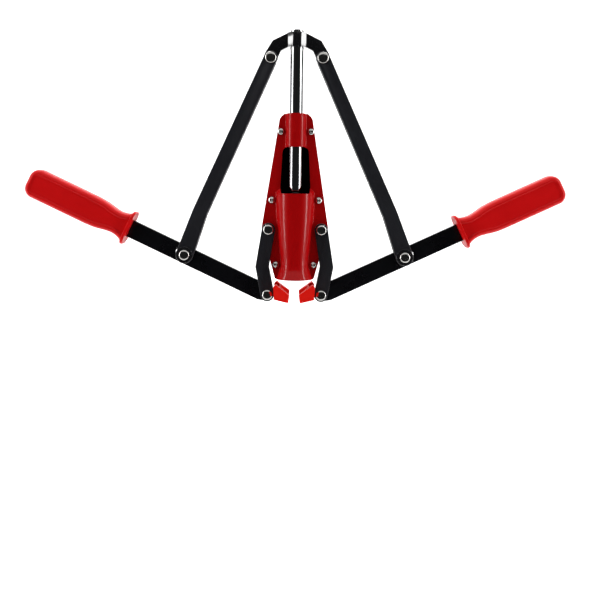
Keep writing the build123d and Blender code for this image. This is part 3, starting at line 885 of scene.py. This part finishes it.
class FastenerTree:
    """A Geometry Nodes tree that sets one fastener on each point of a mesh."""

    def __init__(self, name):
        self.tree = bpy.data.node_groups.new(name, "GeometryNodeTree")
        socket(self.tree, "Places", "NodeSocketGeometry")
        for label, default in (
            ("Head Radius", 0.0055),
            ("Head Height", 0.0026),
            ("Roundness", 0.67),
            ("Recess Depth", 0.0),
            ("Front Seat", 0.005),
            ("Rear Seat", 0.005),
            ("Shank Radius", 0.003),
            ("Shank End", 0.006),
        ):
            socket(self.tree, label, "NodeSocketFloat", default)
        socket(self.tree, "Finish", "NodeSocketMaterial")
        socket(self.tree, "Fasteners", "NodeSocketGeometry", out=True)
        self.given = self.tree.nodes.new("NodeGroupInput").outputs

    def add(self, kind, **settings):
        """Adds a node with the given settings."""
        node = self.tree.nodes.new(kind)
        for key, value in settings.items():
            setattr(node, key, value)
        return node

    def link(self, source, target):
        """Joins two sockets."""
        self.tree.links.new(source, target)

    def maths(self, operation, first, second=0.0):
        """A Math node's output."""
        return math_node(self.tree, operation, first, second)

    def vector(self, x=0.0, y=0.0, z=0.0):
        """A vector from sockets or numbers."""
        node = self.add("ShaderNodeCombineXYZ")
        for place, value in enumerate((x, y, z)):
            if isinstance(value, (int, float)):
                node.inputs[place].default_value = value
            else:
                self.link(value, node.inputs[place])
        return node.outputs["Vector"]

    def head(self, facing):
        """A head facing along Y: a dome at roundness 1, with a flatter middle below that."""
        ball = self.add("GeometryNodeMeshUVSphere")
        ball.inputs["Segments"].default_value = HEAD_SEGMENTS
        ball.inputs["Rings"].default_value = HEAD_RINGS
        ball.inputs["Radius"].default_value = 1.0
        place = self.add("GeometryNodeInputPosition").outputs["Position"]
        parts = self.add("ShaderNodeSeparateXYZ")
        self.link(place, parts.inputs["Vector"])
        x, y, z = (parts.outputs[axis] for axis in "XYZ")
        squares = self.maths("ADD", self.maths("MULTIPLY", x, x), self.maths("MULTIPLY", y, y))
        reach = self.maths("SQRT", squares)
        bend = self.maths("SUBTRACT", self.given["Roundness"], 1.0)
        wider = self.maths("POWER", self.maths("MAXIMUM", reach, NEAR_AXIS), bend)
        wider = self.maths("MULTIPLY", wider, self.given["Head Radius"])
        taller = self.maths("POWER", self.maths("MAXIMUM", z, 0.0), self.given["Roundness"])
        taller = self.maths("MULTIPLY", taller, self.given["Head Height"])
        in_recess = self.maths("LESS_THAN", reach, RECESS_SHARE)
        sunk = self.maths("MULTIPLY", in_recess, self.maths("GREATER_THAN", z, 0.0))
        sunk = self.maths("MULTIPLY", sunk, self.given["Recess Depth"])
        taller = self.maths("SUBTRACT", taller, sunk)
        seat = self.given["Front Seat"] if facing < 0 else self.given["Rear Seat"]
        out = self.maths("MULTIPLY", self.maths("ADD", taller, seat), facing)
        shaped = self.add("GeometryNodeSetPosition")
        self.link(ball.outputs["Mesh"], shaped.inputs["Geometry"])
        first = self.maths("MULTIPLY", x, wider)
        second = self.maths("MULTIPLY", self.maths("MULTIPLY", y, wider), -facing)
        self.link(self.vector(first, out, second), shaped.inputs["Position"])
        return shaped.outputs["Geometry"]

    def shank(self):
        """The fastener's shank, from the front seat to its end behind."""
        rod = self.add("GeometryNodeMeshCylinder")
        rod.inputs["Vertices"].default_value = SHANK_SIDES
        self.link(self.given["Shank Radius"], rod.inputs["Radius"])
        length = self.maths("ADD", self.given["Front Seat"], self.given["Shank End"])
        self.link(length, rod.inputs["Depth"])
        spread = self.maths("SUBTRACT", self.given["Shank End"], self.given["Front Seat"])
        middle = self.maths("MULTIPLY", spread, 0.5)
        placed = self.add("GeometryNodeTransform")
        self.link(rod.outputs["Mesh"], placed.inputs["Geometry"])
        self.link(self.vector(y=middle), placed.inputs["Translation"])
        placed.inputs["Rotation"].default_value = (pi / 2, 0, 0)
        return placed.outputs["Geometry"]

    def finish(self, *pieces):
        """Joins the pieces, sets them on the points and closes the tree."""
        joined = self.add("GeometryNodeJoinGeometry")
        for piece in pieces:
            self.link(piece, joined.inputs["Geometry"])
        spread = self.add("GeometryNodeInstanceOnPoints")
        self.link(self.given["Places"], spread.inputs["Points"])
        self.link(joined.outputs["Geometry"], spread.inputs["Instance"])
        real = self.add("GeometryNodeRealizeInstances")
        self.link(spread.outputs["Instances"], real.inputs["Geometry"])
        smooth = self.add("GeometryNodeSetShadeSmooth")
        self.link(real.outputs["Geometry"], smooth.inputs["Geometry"])
        dressed = self.add("GeometryNodeSetMaterial")
        self.link(smooth.outputs["Geometry"], dressed.inputs["Geometry"])
        self.link(self.given["Finish"], dressed.inputs["Material"])
        result = self.tree.nodes.new("NodeGroupOutput")
        self.link(dressed.outputs["Geometry"], result.inputs["Fasteners"])
        return self.tree


def rivet_tree():
    """Rivets with a head at both ends."""
    made = FastenerTree("rivets")
    return made.finish(made.head(-1), made.head(1), made.shank())


def screw_tree():
    """Screws with a head in front only."""
    made = FastenerTree("screws")
    return made.finish(made.head(-1), made.shank())


def set_fasteners(name, tree, places, finish, **sizes):
    """Runs a fastener tree on places in the x, z plane and keeps the result as a plain mesh."""
    mesh = bpy.data.meshes.new(name)
    mesh.from_pydata([(x, 0, z) for x, z in places], [], [])
    piece = add_object(name, mesh)
    made = piece.modifiers.new("fasteners", "NODES")
    made.node_group = tree
    wanted = {label.replace("_", " "): value for label, value in sizes.items()}
    wanted["Finish"] = finish
    for item in tree.interface.items_tree:
        if item.in_out == "INPUT" and item.name in wanted:
            made[item.identifier] = wanted[item.name]
    return baked(piece)


RIVETS = rivet_tree()
SCREWS = screw_tree()


def rivets(name, body, nodes, shank, head_radius=None):
    """The rivets that stand for some nodes of one body, as large as those nodes are."""
    boxes = [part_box(node) for node in nodes]
    low, high = boxes[0]
    seat = high[1] - RIVET_HEAD_HEIGHT * mm
    piece = set_fasteners(
        name,
        RIVETS,
        [((low[0] + high[0]) / 2, (low[2] + high[2]) / 2) for low, high in boxes],
        NICKEL,
        Head_Radius=head_radius or (high[0] - low[0]) / 2,
        Head_Height=RIVET_HEAD_HEIGHT * mm,
        Roundness=FLAT_TOPPED,
        Front_Seat=seat,
        Rear_Seat=seat,
        Shank_Radius=shank * mm,
        Shank_End=seat,
    )
    dress(piece, body, "nickel", NICKEL, *nodes)


rivets("body_rivets", "body", ("left_body_rivet", "right_body_rivet"), RIVET_SHANK)
rivets(
    "crosshead_rivets", "plunger", ("left_crosshead_rivet", "right_crosshead_rivet"), RIVET_SHANK,
    head_radius=CROSSHEAD_HEAD * mm,
)
for name in ("left", "right"):
    node = f"{name}_link_rivet"
    rivets(node + "_finished", f"{name}_long_link", (node,), LINK_RIVET_SHANK)
    node = f"{name}_lever_rivet"
    rivets(node + "_finished", f"{name}_lever", (node,), RIVET_SHANK)

screws = set_fasteners(
    "shell_screws_finished",
    SCREWS,
    [(side * x * mm, z * mm) for x, z in SCREW_PLACES for side in (-1, 1)],
    NICKEL,
    Head_Radius=SCREW_HEAD * mm,
    Head_Height=SCREW_HEAD_HEIGHT * mm,
    Roundness=DOMED,
    Recess_Depth=RECESS_DEPTH * mm,
    Front_Seat=SHELL_SHEET * mm,
    Rear_Seat=SHELL_SHEET * mm,
    Shank_Radius=SCREW_SHANK * mm,
    Shank_End=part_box("shell_screws")[1][1],
)
dress(screws, "body", "nickel", NICKEL, "shell_screws")

soften_node("shell_nuts", SHEET_ROUND * mm, "body", "nickel", NICKEL)
for name in ("left", "right"):
    soften_node(
        f"{name}_link_washers", WASHER_ROUND * mm, f"{name}_long_link", "black_satin", BLACK_GLOSS
    )
    soften_node(f"{name}_body_spacers", WASHER_ROUND * mm, "body", "black_satin", BLACK_GLOSS)


# Every other node keeps its solid and gets its finish

KEPT = {
    "plunger_rod": CHROME,
    "cork_funnel": INNER_PLASTIC,
    "guide_bush": INNER_PLASTIC,
    "left_jaw_pin": NICKEL,
    "right_jaw_pin": NICKEL,
}
for node_name, finish in KEPT.items():
    node = frame["nodes"][node_name]
    if not node.data.materials:
        node.data.materials.append(finish)
    for material_slot in node.material_slots:
        material_slot.material = finish


# Floor and backdrop, light and camera

FLOOR_Z = -0.31
FLOOR_HALF_WIDTH = 6.0
FLOOR_FRONT = -0.35
WALL_BACK = 3.0
WALL_TOP = 4.0
WALL_BEND = 1.2
BEND_SEGMENTS = 16
PAPER_WHITE = 0.93
PAPER_ROUGHNESS = 0.9
STRIP_POWER = 18
STRIP_PLACE = (1.45, -0.39, 0.1)
STRIP_SIZE = (0.26, 2.0)
WALL_LIGHT_POWER = 90
WALL_LIGHT_PLACE = (0, 1.0, 1.9)
WALL_LIGHT_TARGET = (0, 2.6, 0.2)
WALL_LIGHT_SIZE = (3.0, 0.6)


def backdrop():
    """A pale floor that curves up into a wall far behind."""
    work = bmesh.new()
    profile = [(FLOOR_FRONT, FLOOR_Z)]
    for step in range(BEND_SEGMENTS + 1):
        angle = pi / 2 * step / BEND_SEGMENTS
        away = WALL_BACK - WALL_BEND + WALL_BEND * sin(angle)
        profile.append((away, FLOOR_Z + WALL_BEND * (1 - cos(angle))))
    profile.append((WALL_BACK, WALL_TOP))
    edges = (-FLOOR_HALF_WIDTH, FLOOR_HALF_WIDTH)
    left, right = [[work.verts.new((x, y, z)) for y, z in profile] for x in edges]
    for number in range(len(profile) - 1):
        work.faces.new((left[number], right[number], right[number + 1], left[number + 1]))
    mesh = bpy.data.meshes.new("backdrop")
    work.to_mesh(mesh)
    work.free()
    mesh.shade_smooth()
    made = add_object("backdrop", mesh)
    material = bpy.data.materials.new("backdrop_paper")
    material.use_nodes = True
    shader = material.node_tree.nodes["Principled BSDF"]
    shader.inputs["Base Color"].default_value = (PAPER_WHITE, PAPER_WHITE, PAPER_WHITE, 1)
    shader.inputs["Roughness"].default_value = PAPER_ROUGHNESS
    mesh.materials.append(material)


backdrop()


def softbox(name, place, target, size, power):
    """A rectangular area light aimed at a point."""
    data = bpy.data.lights.new(name, "AREA")
    data.shape = "RECTANGLE"
    data.size, data.size_y = size
    data.energy = power
    made = bpy.data.objects.new(name, data)
    bpy.context.scene.collection.objects.link(made)
    made.location = place
    made.rotation_euler = (Vector(target) - Vector(place)).to_track_quat("-Z", "Y").to_euler()


# Tall strips that draw a narrow highlight down each side of the round metal
for name, side in (("left_strip", -1), ("right_strip", 1)):
    aside, forward, height = STRIP_PLACE
    place = (side * aside, forward, height)
    softbox(name, place, (0, 0, height), STRIP_SIZE, STRIP_POWER)
softbox("wall_light", WALL_LIGHT_PLACE, WALL_LIGHT_TARGET, WALL_LIGHT_SIZE, WALL_LIGHT_POWER)


def ramp(tree, value, low, high):
    """Eases from 0 at low to 1 at high; returns the result's socket."""
    node = tree.nodes.new("ShaderNodeMapRange")
    node.interpolation_type = "SMOOTHSTEP"
    tree.links.new(value, node.inputs["Value"])
    node.inputs["From Min"].default_value = low
    node.inputs["From Max"].default_value = high
    return node.outputs["Result"]


SEEN_WHITE = 1.0
SIDE_LIGHT = 0.4
TOP_LIGHT = 0.95
FRONT_LIGHT = 0.02
DARK_HALF_ANGLE = (radians(48), radians(60))
DARK_TOP = (sin(radians(26)), sin(radians(34)))


def studio():
    """White surroundings with a dark zone in front, which polished faces reflect."""
    world = bpy.data.worlds.new("studio")
    world.use_nodes = True
    tree = world.node_tree
    coordinates = tree.nodes.new("ShaderNodeTexCoord")
    direction = tree.nodes.new("ShaderNodeSeparateXYZ")
    tree.links.new(coordinates.outputs["Generated"], direction.inputs["Vector"])
    aside = math_node(tree, "ABSOLUTE", direction.outputs["X"], 0.0)
    forward = math_node(tree, "MULTIPLY", direction.outputs["Y"], -1.0)
    turn = math_node(tree, "ARCTAN2", aside, forward)
    beside = ramp(tree, turn, *DARK_HALF_ANGLE)
    above = ramp(tree, direction.outputs["Z"], *DARK_TOP)
    beside = math_node(tree, "MULTIPLY", beside, SIDE_LIGHT)
    above = math_node(tree, "MULTIPLY", above, TOP_LIGHT)
    strength = math_node(tree, "MAXIMUM", beside, above)
    strength = math_node(tree, "MAXIMUM", strength, FRONT_LIGHT)
    seen = tree.nodes.new("ShaderNodeLightPath").outputs["Is Camera Ray"]
    seen = math_node(tree, "MULTIPLY", seen, SEEN_WHITE)
    strength = math_node(tree, "MAXIMUM", strength, seen)
    background = tree.nodes["Background"]
    background.inputs["Color"].default_value = (1, 1, 1, 1)
    tree.links.new(strength, background.inputs["Strength"])
    bpy.context.scene.world = world


studio()
bpy.context.scene.view_settings.view_transform = "Standard"

# The photograph's view: pixels of its 600 by 600 frame, and the scale in the middle plane
PHOTO_SIZE = 600
SCALE = 1.05 * mm
HORIZON_Y = 190
AXIS_X = 295.3
MOUTH_ROW_Y = 278.7
DISTANCE = 0.75
LEAN = radians(0.7)
FILM_WIDTH = 36
NEAREST = 0.01
camera_data = bpy.data.cameras.new("camera")
camera = bpy.data.objects.new("camera", camera_data)
bpy.context.scene.collection.objects.link(camera)
camera_data.sensor_width = FILM_WIDTH
camera_data.lens = FILM_WIDTH * DISTANCE / (PHOTO_SIZE * SCALE)
camera_data.shift_y = (HORIZON_Y - PHOTO_SIZE / 2) / PHOTO_SIZE
camera_data.shift_x = (PHOTO_SIZE / 2 - AXIS_X) / PHOTO_SIZE
camera.location = (0, -DISTANCE, (MOUTH_ROW_Y - HORIZON_Y) * SCALE)
camera.rotation_euler = (pi / 2, -LEAN, 0)
camera_data.clip_start = NEAREST
bpy.context.scene.camera = camera
